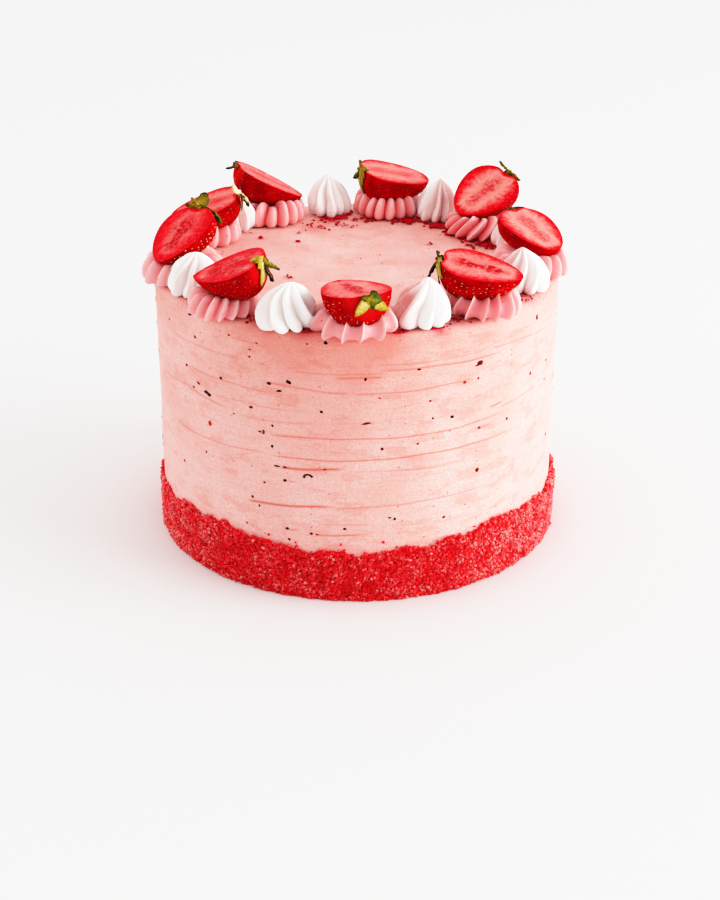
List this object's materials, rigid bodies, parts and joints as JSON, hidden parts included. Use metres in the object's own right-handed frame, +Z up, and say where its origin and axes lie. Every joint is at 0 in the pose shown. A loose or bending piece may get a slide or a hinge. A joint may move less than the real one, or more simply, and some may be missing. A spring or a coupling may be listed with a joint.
{
  "type": "strawberry layer cake",
  "caption": "Tall round frosted cake with a crumb band round its foot and a ring of piped rosettes, halved strawberries and meringue kisses on top.",
  "frame": {"origin": "centre of the cake's flat base, on the surface it stands on", "axes": "+Z up along the cake's axis, -Y towards the front of the cake, +X to the right seen from the front"},
  "size_m": [0.1735, 0.1817, 0.1428],
  "materials": {
    "buttercream": "smooth pale pink buttercream with fine scrape lines and freeze-dried strawberry specks",
    "crumbs": "coarse dry red cookie crumbs",
    "piped_cream": "satin rose pink piped buttercream",
    "meringue": "chalky white baked meringue",
    "strawberry": "glossy red skin with yellow seeds, moist salmon pink cut face",
    "leaf": "soft green strawberry leaf"
  },
  "bodies": {
    "root": {"frosted_cake": "buttercream", "crumb_border": "crumbs", "rosette_1": "piped_cream", "rosette_2": "piped_cream", "rosette_3": "piped_cream", "rosette_4": "piped_cream", "rosette_5": "piped_cream", "rosette_6": "piped_cream", "rosette_7": "piped_cream", "rosette_8": "piped_cream", "rosette_9": "piped_cream", "meringue_1": "meringue", "meringue_2": "meringue", "meringue_3": "meringue", "meringue_4": "meringue", "meringue_5": "meringue", "meringue_6": "meringue", "meringue_7": "meringue", "meringue_8": "meringue", "meringue_9": "meringue", "strawberry_1": "strawberry", "strawberry_2": "strawberry", "strawberry_3": "strawberry", "strawberry_4": "strawberry", "strawberry_5": "strawberry", "strawberry_6": "strawberry", "strawberry_7": "strawberry", "strawberry_8": "strawberry", "strawberry_9": "strawberry", "calyx_1": "leaf", "calyx_2": "leaf", "calyx_3": "leaf", "calyx_4": "leaf", "calyx_5": "leaf", "calyx_6": "leaf", "calyx_7": "leaf", "calyx_8": "leaf", "calyx_9": "leaf"}
  },
  "joints": []
}
